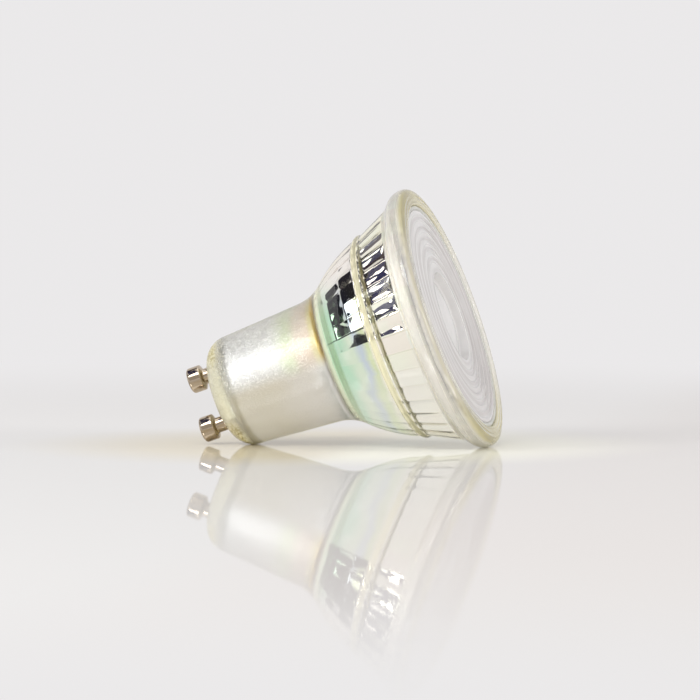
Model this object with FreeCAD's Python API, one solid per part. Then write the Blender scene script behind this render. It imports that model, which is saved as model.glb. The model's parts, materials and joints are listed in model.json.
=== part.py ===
import FreeCAD, Part
import math
import os

# A reflector lamp with a twist-lock pin base: a pressed-glass body with a faceted inside, a moulded
# front lens, and the light source with its driver inside. It lies on its rim and on its base edge.

V = FreeCAD.Vector

# Glass body, measured along the lamp's axis from the base face
rim_radius = 25.0
glass_length = 46.6
neck_base_radius = 10.45
neck_top_radius = 11.5
base_edge_radius = 4.4
base_floor = 3.4
neck_wall = 1.7
throat_wall = 2.6
bowl_wall = 2.0

# Flare from the neck into the bowl, the ledge inside it, and the ridge above the bowl
flare_height = 19.6
ledge_height = 24.5
bowl_root_height = 25.2
bowl_root_radius = 13.95
shoulder_height = 34.6
shoulder_radius = 19.7
shoulder_half_width = 0.6
shoulder_rise = 0.4
bowl_bulge = 0.5

# Thick lip round the mouth
lip_length = 4.4
lip_step = 2.05
lip_back_run = 2.8
lip_front_round = 1.5
mouth_radius = 20.6
mouth_chamfer = 0.35

# Facets pressed into the inside
facets_around = 36
bowl_rows = 3
band_rows = 3

# Front lens
lens_recess = 0.4
lens_flange_thickness = 1.6
lens_seat_width = 1.0
seal_width = 0.9
seal_rise = 0.2
eye_radius = 8.5
eye_depth = 1.7
eye_draft = 0.5
eye_dome = 1.2
groove_count = 9
groove_depth = 0.22
groove_margin = 0.9
groove_slope_share = 0.85
lens_foot_radius = 5.9
lens_foot_wall = 1.1
lens_pocket_height = 4.6
lens_pocket_dome = 1.2
lens_side_bulge = 1.0

# Contact pins
pin_pitch = 10.0
pin_reach = 5.0
pin_head_radius = 2.4
pin_head_length = 2.9
pin_head_edge = 0.5
pin_shank_radius = 1.45
pin_tail_rise = 1.3
pin_bore_radius = 0.55
washer_radius = 2.3
washer_thickness = 0.5

# Heat spreader and light source
spreader_wall = 1.0
spreader_skirt = 7.0
led_board_thickness = 1.2
led_count = 6
led_length = 2.4
led_width = 1.8
led_thickness = 0.7
led_circle_radius = 3.3

# Driver board and the components on it
board_thickness = 1.2
board_offset = 3.3
capacitor_radius = 3.0
capacitor_length = 9.0
capacitor_edge = 0.4
inductor_radius = 2.9
inductor_length = 5.0
inductor_flange = 0.8
inductor_waist = 2.4
resistor_radius = 1.1
resistor_length = 5.0
film_width = 6.0
film_height = 4.6
film_depth = 2.6
chip_width = 4.9
chip_height = 3.9
chip_depth = 1.5
leg_count = 4
leg_width = 0.4
leg_reach = 0.9
leg_thickness = 0.25
speck_width = 0.8
speck_height = 1.6
speck_depth = 0.5
component_gap = 1.1
wire_radius = 0.4
wire_bend = 1.2
wire_stub = 1.4
fit_clearance = 0.15

# How far the lamp is rolled about its own axis where it lies
roll = -20.0

# Values that follow from the sizes above
lip_back = glass_length - lip_length
lip_back_round = (lip_back_run ** 2 + lip_step ** 2) / (2 * lip_step)
band_end_radius = rim_radius - lip_step
neck_slope = math.atan2(neck_top_radius - neck_base_radius, flare_height - base_edge_radius)
flare_slope = math.atan2(bowl_root_radius - neck_top_radius, bowl_root_height - flare_height)
flare_chord = math.hypot(bowl_root_radius - neck_top_radius, bowl_root_height - flare_height)
flare_sag = flare_chord / 2 * math.tan((flare_slope - neck_slope) / 2)
band_start = shoulder_height + shoulder_half_width
lens_front = glass_length - lens_recess
lens_seat = lens_front - lens_flange_thickness
seat_radius = mouth_radius + lens_seat_width
lens_radius = seat_radius - seal_width
neck_bore_radius = neck_base_radius - neck_wall
throat_radius = bowl_root_radius - throat_wall
spreader_seat = ledge_height
spreader_top = spreader_seat + spreader_wall
led_board_top = spreader_top + led_board_thickness
pin_offset = pin_pitch / 2
board_near_face = board_offset - board_thickness / 2
board_far_face = board_offset + board_thickness / 2
board_half_width = math.sqrt((neck_bore_radius - fit_clearance) ** 2 - board_far_face ** 2)
board_top = spreader_seat - fit_clearance
wire_hole_radius = wire_radius + fit_clearance
led_wire_offset = board_half_width - 2 * wire_hole_radius
led_wire_depth = board_near_face - wire_radius
lens_foot_bore = lens_foot_radius - lens_foot_wall
lead_top = base_floor + pin_tail_rise + wire_stub + wire_bend + wire_radius
near_row = lead_top + component_gap


class Outline:
    """A closed half section, drawn as (radius, height) points joined by lines and arcs."""

    def __init__(self, radius, height):
        self.first = V(radius, 0, height)
        self.last = self.first
        self.edges = []

    def line(self, radius, height):
        end = V(radius, 0, height)
        self.edges.append(Part.LineSegment(self.last, end).toShape())
        self.last = end
        return self

    def arc(self, middle, end):
        middle_point = V(middle[0], 0, middle[1])
        end_point = V(end[0], 0, end[1])
        self.edges.append(Part.Arc(self.last, middle_point, end_point).toShape())
        self.last = end_point
        return self

    def corner(self, centre_radius, centre_height, radius, start, end):
        """An arc about a centre, between two angles in degrees from the outward direction."""
        def at(angle):
            turn = math.radians(angle)
            return centre_radius + radius * math.cos(turn), centre_height + radius * math.sin(turn)
        return self.arc(at((start + end) / 2), at(end))

    def bulge(self, radius, height, rise):
        """An arc to a point that stands proud of its chord, to the right of the way it runs up."""
        end = V(radius, 0, height)
        chord = end - self.last
        side = V(chord.z, 0, -chord.x).normalize()
        middle = (self.last + end) / 2 + side * rise
        return self.arc((middle.x, middle.z), (radius, height))

    def dome(self, radius, height):
        """An arc between a point on the axis and one off it, about a centre on the axis."""
        tip, edge = (self.last, V(radius, 0, height)) if self.last.x == 0 else (V(0, 0, height), self.last)
        centre = (edge.x ** 2 + edge.z ** 2 - tip.z ** 2) / (2 * (edge.z - tip.z))
        reach = tip.z - centre
        half_turn = math.atan2(edge.x, (edge.z - centre) * math.copysign(1, reach)) / 2
        middle = (abs(reach) * math.sin(half_turn), centre + reach * math.cos(half_turn))
        return self.arc(middle, (radius, height))

    def turned(self):
        self.edges.append(Part.LineSegment(self.last, self.first).toShape())
        face = Part.Face(Part.Wire(self.edges))
        return face.revolve(V(0, 0, 0), V(0, 0, 1), 360)


def cylinder(radius, bottom, top, x=0.0, y=0.0):
    return Part.makeCylinder(radius, top - bottom, V(x, y, bottom))


def block(low, high):
    size = high - low
    return Part.makeBox(size.x, size.y, size.z, low)


def faceted_cavity(rows):
    """A solid of flat panels: a regular polygon at each (corner radius, height) of rows."""
    rings = []
    for radius, height in rows:
        ring = []
        for step in range(facets_around):
            angle = 2 * math.pi * step / facets_around
            ring.append(V(radius * math.cos(angle), radius * math.sin(angle), height))
        rings.append(ring)

    faces = []
    for lower, upper in zip(rings, rings[1:]):
        for step in range(facets_around):
            after = (step + 1) % facets_around
            corners = [lower[step], lower[after], upper[after], upper[step], lower[step]]
            faces.append(Part.Face(Part.makePolygon(corners)))
    for ring in (rings[0], rings[-1]):
        faces.append(Part.Face(Part.makePolygon(ring + ring[:1])))

    solid = Part.Solid(Part.Shell(faces))
    if solid.Volume < 0:
        solid.reverse()
    return solid


def reflector_rows():
    """Corner radii and heights of the facet rows: the bowl on an arc, then the straight band."""
    waist_radius = shoulder_radius - shoulder_rise - bowl_wall
    waist_height = shoulder_height
    rows = []
    for step in range(bowl_rows + 1):
        share = step / bowl_rows
        proud = bowl_bulge * 4 * share * (1 - share)
        radius = throat_radius + (waist_radius - throat_radius) * share + proud
        rows.append((radius, spreader_seat + (waist_height - spreader_seat) * share))
    for step in range(1, band_rows + 1):
        share = step / band_rows
        radius = waist_radius + (mouth_radius - waist_radius) * share
        rows.append((radius, waist_height + (lens_seat - waist_height) * share))
    return rows


def glass_reflector():
    """The outside turned from one outline, then hollowed by the neck bore and the faceted bowl."""
    outline = Outline(0, 0)
    outline.line(neck_base_radius - base_edge_radius, 0)
    outline.corner(neck_base_radius - base_edge_radius, base_edge_radius, base_edge_radius, -90, 0)
    outline.line(neck_top_radius, flare_height)
    outline.bulge(bowl_root_radius, bowl_root_height, -flare_sag)
    outline.bulge(shoulder_radius - shoulder_rise, shoulder_height - shoulder_half_width, bowl_bulge)
    outline.arc((shoulder_radius, shoulder_height), (shoulder_radius - shoulder_rise / 3, band_start))
    outline.line(band_end_radius, lip_back)
    lip_start = math.degrees(math.atan2(-lip_back_run, lip_back_round - lip_step))
    outline.corner(rim_radius - lip_back_round, lip_back + lip_back_run, lip_back_round, lip_start, 0)
    outline.line(rim_radius, glass_length - lip_front_round)
    outline.corner(rim_radius - lip_front_round, glass_length - lip_front_round, lip_front_round, 0, 90)
    outline.line(0, glass_length)
    body = outline.turned()

    mouth = Outline(0, lens_seat)
    mouth.line(seat_radius, lens_seat)
    mouth.line(seat_radius, glass_length - mouth_chamfer)
    mouth.line(seat_radius + mouth_chamfer, glass_length)
    mouth.line(0, glass_length)

    hollows = [mouth.turned(), faceted_cavity(reflector_rows())]
    hollows.append(cylinder(neck_bore_radius, base_floor, spreader_seat))
    for side in (-1, 1):
        hollows.append(cylinder(pin_shank_radius, 0, base_floor, side * pin_offset))
    return body.cut(hollows)


def front_lens():
    """A moulded lens: grooved front with a domed eye, and a light-gathering cone behind it."""
    lens = Outline(0, lens_front - eye_depth + eye_dome)
    lens.dome(eye_radius - eye_draft, lens_front - eye_depth)
    lens.line(eye_radius, lens_front)
    groove_start = eye_radius + groove_margin
    pitch = (lens_radius - groove_margin - groove_start) / groove_count
    for step in range(groove_count):
        inner = groove_start + step * pitch
        lens.line(inner, lens_front)
        lens.line(inner + pitch * groove_slope_share, lens_front - groove_depth)
    lens.line(lens_radius - groove_margin, lens_front)
    lens.line(lens_radius, lens_front)
    lens.line(lens_radius, lens_seat)
    lens.line(mouth_radius - bowl_wall, lens_seat)
    lens.bulge(lens_foot_radius, led_board_top + fit_clearance, -lens_side_bulge)
    lens.line(lens_foot_bore, led_board_top + fit_clearance)
    pocket_top = led_board_top + lens_pocket_height
    lens.line(lens_foot_bore - eye_draft, pocket_top)
    lens.dome(0, pocket_top - lens_pocket_dome)
    return lens.turned()


def lens_seal():
    """A bead of sealant between the lens edge and the mouth of the glass, with a rounded top."""
    bead = Outline(lens_radius, lens_seat)
    bead.line(seat_radius, lens_seat)
    bead.line(seat_radius, lens_front)
    bead.arc(((lens_radius + seat_radius) / 2, lens_front + seal_rise), (lens_radius, lens_front))
    return bead.turned()


def contact_pin(side):
    """One turned pin: a round-edged head, a waist that the socket grips, and a hollow tail."""
    head_top = -pin_reach + pin_head_length
    pin = Outline(0, -pin_reach)
    pin.line(pin_head_radius - pin_head_edge, -pin_reach)
    pin.corner(pin_head_radius - pin_head_edge, -pin_reach + pin_head_edge, pin_head_edge, -90, 0)
    pin.line(pin_head_radius, head_top - pin_head_edge)
    pin.line(pin_head_radius - pin_head_edge, head_top)
    pin.line(pin_shank_radius, head_top)
    pin.line(pin_shank_radius, base_floor + pin_tail_rise)
    pin.line(pin_bore_radius, base_floor + pin_tail_rise)
    pin.line(pin_bore_radius, base_floor / 2)
    pin.line(0, base_floor / 2)
    solid = pin.turned()
    solid.translate(V(side * pin_offset, 0, 0))
    return solid


def pin_washers():
    """A press-on washer holds each pin's tail on the inside of the glass."""
    washers = []
    for side in (-1, 1):
        washer = cylinder(washer_radius, base_floor, base_floor + washer_thickness, side * pin_offset)
        hole = cylinder(pin_shank_radius, base_floor, base_floor + washer_thickness, side * pin_offset)
        washers.append(washer.cut(hole))
    return Part.makeCompound(washers)


def heat_spreader():
    """A pressed aluminium cup, hung by its flange on the ledge at the top of the neck."""
    flange_radius = throat_radius * math.cos(math.pi / facets_around) - fit_clearance
    skirt_radius = neck_bore_radius - fit_clearance
    skirt_bottom = spreader_seat - spreader_skirt
    cup = Outline(0, spreader_top)
    cup.line(flange_radius, spreader_top)
    cup.line(flange_radius, spreader_seat)
    cup.line(skirt_radius, spreader_seat)
    cup.line(skirt_radius, skirt_bottom)
    cup.line(skirt_radius - spreader_wall, skirt_bottom)
    cup.line(skirt_radius - spreader_wall, spreader_seat)
    cup.line(0, spreader_seat)
    cuts = []
    slot_half = board_thickness / 2 + fit_clearance
    reach = skirt_radius + fit_clearance
    slot_low = V(-reach, board_offset - slot_half, skirt_bottom - fit_clearance)
    cuts.append(block(slot_low, V(reach, board_offset + slot_half, spreader_seat)))
    for side in (-1, 1):
        cuts.append(cylinder(wire_hole_radius, spreader_seat, spreader_top,
                             side * led_wire_offset, led_wire_depth))
    return cup.turned().cut(cuts)


def led_board():
    """The round metal-core board that carries the light source."""
    board = cylinder(neck_bore_radius - fit_clearance, spreader_top, led_board_top)
    holes = []
    for side in (-1, 1):
        holes.append(cylinder(wire_hole_radius, spreader_top, led_board_top,
                              side * led_wire_offset, led_wire_depth))
    return board.cut(holes)


def led_packages():
    """Light-emitting packages on a circle, each a flat block with its long side outwards."""
    packages = []
    for step in range(led_count):
        low = V(led_circle_radius - led_width / 2, -led_length / 2, led_board_top)
        package = Part.makeBox(led_width, led_length, led_thickness, low)
        package.rotate(V(0, 0, 0), V(0, 0, 1), 360 * step / led_count)
        packages.append(package)
    return Part.makeCompound(packages)


def driver_board():
    """The upright board in the neck, standing on the glass floor and slotted into the spreader."""
    low = V(-board_half_width, board_near_face, base_floor)
    return block(low, V(board_half_width, board_far_face, board_top))


def lead_wire(side):
    """A short wire from the bore of a pin, bent over to the driver board."""
    start = V(side * pin_offset, 0, base_floor / 2)
    bend_start = V(start.x, 0, base_floor + pin_tail_rise + wire_stub)
    bend_end = bend_start + V(0, wire_bend, wire_bend)
    turn = wire_bend * math.sin(math.pi / 4)
    bend_middle = bend_start + V(0, wire_bend - turn, turn)
    finish = V(start.x, board_near_face, bend_end.z)
    path = Part.Wire([Part.LineSegment(start, bend_start).toShape(),
                      Part.Arc(bend_start, bend_middle, bend_end).toShape(),
                      Part.LineSegment(bend_end, finish).toShape()])
    section = Part.Wire(Part.Circle(start, V(0, 0, 1), wire_radius).toShape())
    return path.makePipeShell([section], True, False)


def led_wire(side):
    """A straight wire from the driver board up through the spreader, flush with the light source's board."""
    bottom = board_top - spreader_skirt / 2
    return cylinder(wire_radius, bottom, led_board_top, side * led_wire_offset, led_wire_depth)


def smoothing_capacitor():
    """A round can with softened ends, lying along the near face of the board."""
    can = Outline(0, 0)
    can.line(capacitor_radius - capacitor_edge, 0)
    can.corner(capacitor_radius - capacitor_edge, capacitor_edge, capacitor_edge, -90, 0)
    can.line(capacitor_radius, capacitor_length - capacitor_edge)
    can.corner(capacitor_radius - capacitor_edge, capacitor_length - capacitor_edge, capacitor_edge, 0, 90)
    can.line(0, capacitor_length)
    solid = can.turned()
    solid.translate(V(capacitor_radius + component_gap / 2, board_near_face - capacitor_radius, near_row))
    return solid


def inductor():
    """A drum core with its winding, standing out from the near face of the board."""
    drum = Outline(0, 0)
    drum.line(inductor_radius, 0)
    drum.line(inductor_radius, inductor_flange)
    drum.line(inductor_waist, inductor_flange)
    drum.line(inductor_waist, inductor_length - inductor_flange)
    drum.line(inductor_radius, inductor_length - inductor_flange)
    drum.line(inductor_radius, inductor_length)
    drum.line(0, inductor_length)
    solid = drum.turned()
    solid.rotate(V(0, 0, 0), V(1, 0, 0), 90)
    solid.translate(V(-inductor_radius - component_gap / 2, board_near_face, near_row + inductor_radius))
    return solid


def fuse_resistor():
    """A small round-bodied resistor across the near face, above the inductor."""
    middle_height = near_row + 2 * inductor_radius + component_gap + resistor_radius
    right_end = V(-component_gap / 2, board_near_face - resistor_radius, middle_height)
    return Part.makeCylinder(resistor_radius, resistor_length, right_end, V(-1, 0, 0))


def film_capacitor():
    """A boxed capacitor low on the far face."""
    low = V(-film_width / 2, board_far_face, base_floor + component_gap)
    return block(low, low + V(film_width, film_depth, film_height))


def legged_chip(bottom):
    """A moulded package on the far face, with a row of flat legs on each side."""
    low = V(-chip_width / 2, board_far_face, bottom)
    body = block(low, low + V(chip_width, chip_depth, chip_height))
    pitch = chip_height / leg_count
    legs = []
    for side in (-1, 1):
        for step in range(leg_count):
            foot = V(side * (chip_width + leg_reach) / 2, board_far_face, bottom + pitch * (step + 0.5))
            half = V(leg_reach / 2, 0, leg_width / 2)
            legs.append(block(foot - half, foot + half + V(0, leg_thickness, 0)))
    return body.fuse(legs).removeSplitter()


def chip_row(place):
    return base_floor + film_height + 2 * component_gap + place * (chip_height + component_gap)


def chip_resistors():
    """Small flat resistors beside the chips."""
    specks = []
    across = chip_width / 2 + leg_reach + component_gap / 2
    for side in (-1, 1):
        for place in (0, 1):
            middle = V(side * (across + speck_width / 2), board_far_face, chip_row(place) + chip_height / 2)
            half = V(speck_width / 2, 0, speck_height / 2)
            specks.append(block(middle - half, middle + half + V(0, speck_depth, 0)))
    return Part.makeCompound(specks)


def resting_place():
    """Lays the lamp down: its lip and its base edge touch the ground, and one pin is above the other."""
    edge_along = base_edge_radius
    edge_out = neck_base_radius - base_edge_radius
    along = lip_back + lip_back_run - edge_along
    out = rim_radius - lip_back_round - edge_out
    gain = (base_edge_radius - lip_back_round) / math.hypot(along, out)
    lean = math.acos(gain) - math.atan2(along, out)
    rise = math.sin(lean)
    run = math.cos(lean)

    front_along = glass_length - lip_front_round
    front_out = rim_radius - lip_front_round
    right_most = front_along * run + front_out * rise + lip_front_round
    head_along = pin_reach - pin_head_edge
    head_out = pin_offset * math.cos(math.radians(roll)) + pin_head_radius - pin_head_edge
    left_most = -head_along * run - head_out * rise - pin_head_edge

    base_centre = V(-(right_most + left_most) / 2, 0, edge_out * run + base_edge_radius - edge_along * rise)
    laid_down = FreeCAD.Rotation(V(-rise, 0, run), V(0, -1, 0), V(run, 0, rise), "ZXY")
    print("leans by", round(math.degrees(lean), 4), "degrees, base centre at", base_centre)
    return FreeCAD.Placement(base_centre, laid_down.multiply(FreeCAD.Rotation(V(0, 0, 1), roll)))


nodes = {
    "glass_reflector": glass_reflector(),
    "front_lens": front_lens(),
    "lens_seal": lens_seal(),
    "contact_pin_upper": contact_pin(1),
    "contact_pin_lower": contact_pin(-1),
    "pin_washers": pin_washers(),
    "heat_spreader": heat_spreader(),
    "led_board": led_board(),
    "led_packages": led_packages(),
    "driver_board": driver_board(),
    "smoothing_capacitor": smoothing_capacitor(),
    "inductor": inductor(),
    "fuse_resistor": fuse_resistor(),
    "film_capacitor": film_capacitor(),
    "driver_chip": legged_chip(chip_row(0)),
    "bridge_rectifier": legged_chip(chip_row(1)),
    "chip_resistors": chip_resistors(),
    "lead_wire_upper": lead_wire(1),
    "lead_wire_lower": lead_wire(-1),
    "led_wire_upper": led_wire(1),
    "led_wire_lower": led_wire(-1),
}

os.makedirs("parts", exist_ok=True)
place = resting_place()
for name, shape in nodes.items():
    shape.Placement = place.multiply(shape.Placement)
    shape.exportStep(os.path.join("parts", name + ".step"))
    print(name, len(shape.Solids), "solids", round(shape.Volume, 2), "mm3, valid", shape.isValid())
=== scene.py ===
# %% [markdown]
# A reflector spotlight bulb, lying on its lip and its base edge
#
# The bulb is a thick cup of pressed glass. Its inside carries a mirror film, so what looks like a
# silvered surface is seen through a few millimetres of clear glass. The solids come from the
# packed model, and this lesson dresses them.

# %% Load the packed model
import json
import bpy
import numpy as np
from mathutils import Matrix, Vector


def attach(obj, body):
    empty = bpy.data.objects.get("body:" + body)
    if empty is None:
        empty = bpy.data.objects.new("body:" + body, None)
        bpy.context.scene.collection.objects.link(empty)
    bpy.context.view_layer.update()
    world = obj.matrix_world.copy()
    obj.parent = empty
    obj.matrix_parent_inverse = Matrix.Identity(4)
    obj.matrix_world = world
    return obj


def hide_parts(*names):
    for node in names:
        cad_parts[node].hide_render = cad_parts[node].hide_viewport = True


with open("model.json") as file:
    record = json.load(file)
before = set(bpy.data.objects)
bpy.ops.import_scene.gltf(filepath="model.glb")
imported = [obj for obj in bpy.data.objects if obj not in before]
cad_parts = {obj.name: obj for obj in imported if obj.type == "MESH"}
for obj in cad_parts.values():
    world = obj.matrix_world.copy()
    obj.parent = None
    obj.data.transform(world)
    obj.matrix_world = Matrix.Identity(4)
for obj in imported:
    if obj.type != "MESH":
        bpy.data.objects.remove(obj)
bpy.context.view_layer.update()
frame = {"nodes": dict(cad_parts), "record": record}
print("nodes:", len(frame["nodes"]))

# %% [markdown]
# Where the bulb lies
#
# The record says where the base face is and which way it looks. From these two the bulb gets
# axes of its own: along it from the base to the lens, upright across it, and sideways towards the
# viewer. An empty object could carry a turned mesh instead, but then the patterns of the finishes
# would turn with it. So every surface below is a radius and a height in millimetres, placed round
# this axis by numpy.

# %% The bulb's own axes
MM = 0.001
mounts = {mount["name"]: mount for mount in frame["record"]["mounts"]}
base_centre = np.array(mounts["base_face"]["pos_m"])
along = -np.array(mounts["base_face"]["axis"])
upright = np.array([-along[2], 0.0, along[0]])
sideways = np.array([0.0, -1.0, 0.0])
print("axis:", np.round(along, 4))


# %% Points round the axis
def around_axis(radius, height, angle):
    """Base centre, plus height along the axis, plus radius times (cos of the angle upright
    and sin of the angle sideways). Arrays broadcast, in millimetres and radians."""
    radius, height, angle = np.broadcast_arrays(radius, height, angle)
    out = np.cos(angle)[..., None] * upright + np.sin(angle)[..., None] * sideways
    return base_centre + MM * (height[..., None] * along + radius[..., None] * out)


print("10 mm along the axis:", np.round(around_axis(0.0, 10.0, 0.0), 4))

# %% [markdown]
# From outlines to meshes
#
# A turned shape is a grid: rows follow the outline, columns go round. The outline is built from
# straight, round and bowed runs. A Screw modifier could turn it too, but it would leave no rows
# and columns to carry facets. A row of zero radius becomes a single pole point, so that the skin
# is closed.


# %% Runs of an outline
def run(start, end, count):
    """Points on a straight line from start to end, without the start."""
    share = np.linspace(0, 1, count + 1)[1:, None]
    return np.array(start) * (1 - share) + np.array(end) * share


def turn(centre, radius, first, last, count):
    """Points on a circle about centre, between two angles in degrees, without the first."""
    angle = np.radians(np.linspace(first, last, count + 1)[1:])
    return np.array(centre) + radius * np.stack([np.cos(angle), np.sin(angle)], axis=1)


def bow(start, end, rise, count):
    """A parabola over the chord from start to end, without the start: rise to the right of it."""
    share = np.linspace(0, 1, count + 1)[1:, None]
    chord = np.array(end) - np.array(start)
    side = np.array([chord[1], -chord[0]]) / np.hypot(*chord)
    return np.array(start) + share * chord + 4 * rise * share * (1 - share) * side


print("middle of a bow:", bow((0, 0), (2, 0), 0.5, 2)[0])


# %% Faces of a grid
def grid_numbers(rows, columns, poles):
    """Point numbers on the grid, row after row. A pole row holds one number throughout."""
    width = np.full(rows, columns)
    width[[0, -1]] = np.where(poles, 1, columns)
    starts = np.concatenate([[0], np.cumsum(width)[:-1]])
    return starts[:, None] + np.arange(columns) % width[:, None]


def grid_faces(rows, columns, poles):
    """Quads between neighbours, closed sideways, with a fan of triangles at each pole: point
    numbers of every face, and the column and row of every face corner."""
    numbers = grid_numbers(rows, columns, poles)
    after = np.roll(numbers, -1, axis=1)
    corners = np.stack([numbers[:-1], after[:-1], after[1:], numbers[1:]], axis=2)
    column, row = np.meshgrid(np.arange(columns), np.arange(rows - 1))
    corner_steps = np.array([(0, 0), (1, 0), (1, 1), (0, 1)])
    places = np.stack([column, row], axis=2)[:, :, None] + corner_steps
    first = [0, 2, 3] if poles[0] else [0, 1, 2, 3]
    last = [0, 1, 2] if poles[1] else [0, 1, 2, 3]
    faces = (corners[0][:, first].tolist() + corners[1:-1].reshape(-1, 4).tolist()
             + corners[-1][:, last].tolist())
    spots = np.concatenate([places[0][:, first].reshape(-1, 2), places[1:-1].reshape(-1, 2),
                            places[-1][:, last].reshape(-1, 2)])
    return faces, spots


print("faces of a small cone:", len(grid_faces(3, 8, (True, False))[0]))


# %% Turned meshes
def turned_mesh(name, radius, height, columns, round_unit=1.0, row_unit=None, shift=0.0):
    """A closed skin: radius and height on rows (or rows by columns), turned through a full circle.
    The UV map holds how far round a corner is, in round_unit parts, and its row's row_unit value."""
    rows = len(radius)
    angle = 2 * np.pi * np.arange(columns) / columns
    radius = np.broadcast_to(radius.reshape(rows, -1), (rows, columns))
    height = np.broadcast_to(height.reshape(rows, -1), (rows, columns))
    points = around_axis(radius, height, angle) + shift
    poles = [not radius[end].any() for end in (0, -1)]
    ends = [points[end, :1] if pole else points[end] for end, pole in zip((0, -1), poles)]
    faces, spots = grid_faces(rows, columns, poles)
    mesh = bpy.data.meshes.new(name)
    points = np.concatenate([ends[0], points[1:-1].reshape(-1, 3), ends[1]])
    mesh.from_pydata(points.tolist(), [], faces)
    levels = np.arange(rows) if row_unit is None else row_unit
    uv = np.stack([spots[:, 0] / columns * round_unit, levels[spots[:, 1]]], axis=1)
    mesh.uv_layers.new(name="turned").data.foreach_set("uv", uv.astype(np.float32).ravel())
    mesh.polygons.foreach_set("use_smooth", np.ones(len(faces), bool))
    mesh.update()
    piece = bpy.data.objects.new(name, mesh)
    bpy.context.collection.objects.link(piece)
    print(name + ":", len(faces), "faces")
    return piece


# %% [markdown]
# The camera
#
# The picture was taken with a long lens, almost level with the table, with the bulb turned a
# little so that its front shows as a thin ellipse. A camera can be aimed by hand or by a
# constraint. Here its axes are worked out from a bearing and a height, and its lens from the width
# of the view, so the picture needs no shift and each number has a meaning.

# %% Camera axes
camera_bearing = np.radians(11.87)
camera_height = np.radians(2.9)
view_right, view_up = 0.001885, 0.0176

towards = np.array([np.sin(camera_bearing) * np.cos(camera_height),
                    -np.cos(camera_bearing) * np.cos(camera_height), np.sin(camera_height)])
right = np.array([np.cos(camera_bearing), np.sin(camera_bearing), 0.0])
upward = np.cross(towards, right)
aim = right * view_right + upward * view_up
print("towards the camera:", np.round(towards, 4))

# %% Camera
camera_distance, view_width, sensor_width, far_clip = 1.25, 0.1294, 36.0, 20

camera_data = bpy.data.cameras.new("camera")
camera_data.sensor_width = sensor_width
camera_data.lens = sensor_width * camera_distance / view_width
camera_data.clip_end = far_clip
camera = bpy.data.objects.new("camera", camera_data)
bpy.context.collection.objects.link(camera)
camera_matrix = np.eye(4)
camera_matrix[:3] = np.stack([right, upward, towards, aim + towards * camera_distance], axis=1)
camera.matrix_world = Matrix(camera_matrix.tolist())
bpy.context.scene.camera = camera
print("lens:", round(camera_data.lens, 1), "mm at", camera_distance, "m")

# %% [markdown]
# Shader maths as expressions
#
# A finish is easier to read as a formula than as a pile of nodes. Shade wraps one output socket,
# and its operators add Math nodes. The reflected forms let a plain number stand first.


# %% Shader values
class Shade:
    """A shader value: one output socket. Arithmetic on it adds Math nodes beside its node."""

    def __init__(self, nodes, socket):
        self.nodes = nodes
        self.socket = socket

    def beside(self, output):
        """Another output of the same node."""
        return Shade(self.nodes, self.socket.node.outputs[output])

    def __add__(self, other):
        return self.nodes.maths("ADD", self, other)

    def __sub__(self, other):
        return self.nodes.maths("SUBTRACT", self, other)

    def __mul__(self, other):
        return self.nodes.maths("MULTIPLY", self, other)

    def __truediv__(self, other):
        return self.nodes.maths("DIVIDE", self, other)

    def __pow__(self, other):
        return self.nodes.maths("POWER", self, other)

    def __rsub__(self, other):
        return self.nodes.maths("SUBTRACT", other, self)

    def __rtruediv__(self, other):
        return self.nodes.maths("DIVIDE", other, self)

    def __rpow__(self, other):
        return self.nodes.maths("POWER", other, self)

    __radd__ = __add__
    __rmul__ = __mul__


print("operators: + - * / **")

# %% [markdown]
# One method for every node
#
# Nodes holds one material, or the world. Its node method takes a node's type, its settings and the
# values or links of its sockets, so no finish has to touch Blender's node tree itself. A colour is
# written as red, green and blue.


# %% Node tree
class Nodes:
    """The shader nodes of a material or the world: its first shader, and what feeds it."""

    def __init__(self, owner, **constants):
        self.owner = bpy.data.materials.new(owner) if isinstance(owner, str) else owner
        self.owner.use_nodes = True
        self.tree = self.owner.node_tree
        self.output = [node for node in self.tree.nodes if "Output" in node.bl_idname][0]
        self.shader = self.output.inputs["Surface"].links[0].from_node
        self.own = Shade(self, self.shader.outputs[0])
        self.feed(**constants)

    def node(self, kind, settings=None, inputs=None, output=0):
        """Adds a node, sets its settings (a ramp's stops among them), then fills its sockets."""
        node = self.tree.nodes.new(kind)
        for key, value in (settings or {}).items():
            if key == "stops":
                self.set_stops(node.color_ramp, value)
            else:
                setattr(node, key, value)
        for key, value in (inputs or {}).items():
            self.fill(node.inputs[key], value)
        return Shade(self, node.outputs[output])

    def set_stops(self, ramp, stops):
        """Gives a ramp its stops, eased between them."""
        ramp.interpolation = "EASE"
        for _ in range(len(stops) - len(ramp.elements)):
            ramp.elements.new(0.5)
        for stop, (position, colour) in zip(ramp.elements, stops):
            stop.position = position
            stop.color = (*colour, 1.0)

    def fill(self, socket, value):
        """Links a shader value to a socket, or sets the socket itself."""
        if isinstance(value, Shade):
            self.tree.links.new(value.socket, socket)
        else:
            socket.default_value = (*value, 1.0) if socket.type == "RGBA" else value

    def feed(self, **inputs):
        """Fills sockets of the first shader. An underscore in a name stands for a space."""
        for name, value in inputs.items():
            self.fill(self.shader.inputs[name.replace("_", " ")], value)

    def close(self, **shaders):
        """Sends shaders to the Surface or the Volume of the output."""
        for name, value in shaders.items():
            self.fill(self.output.inputs[name], value)

    def maths(self, operation, first, second=0.0):
        return self.node("ShaderNodeMath", {"operation": operation}, {0: first, 1: second})

    def vector_maths(self, operation, first, second=(0, 0, 0), output="Vector"):
        return self.node("ShaderNodeVectorMath", {"operation": operation},
                         {0: first, 1: second}, output)


print("nodes can:", [name for name in vars(Nodes) if not name.startswith("_")])

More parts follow.
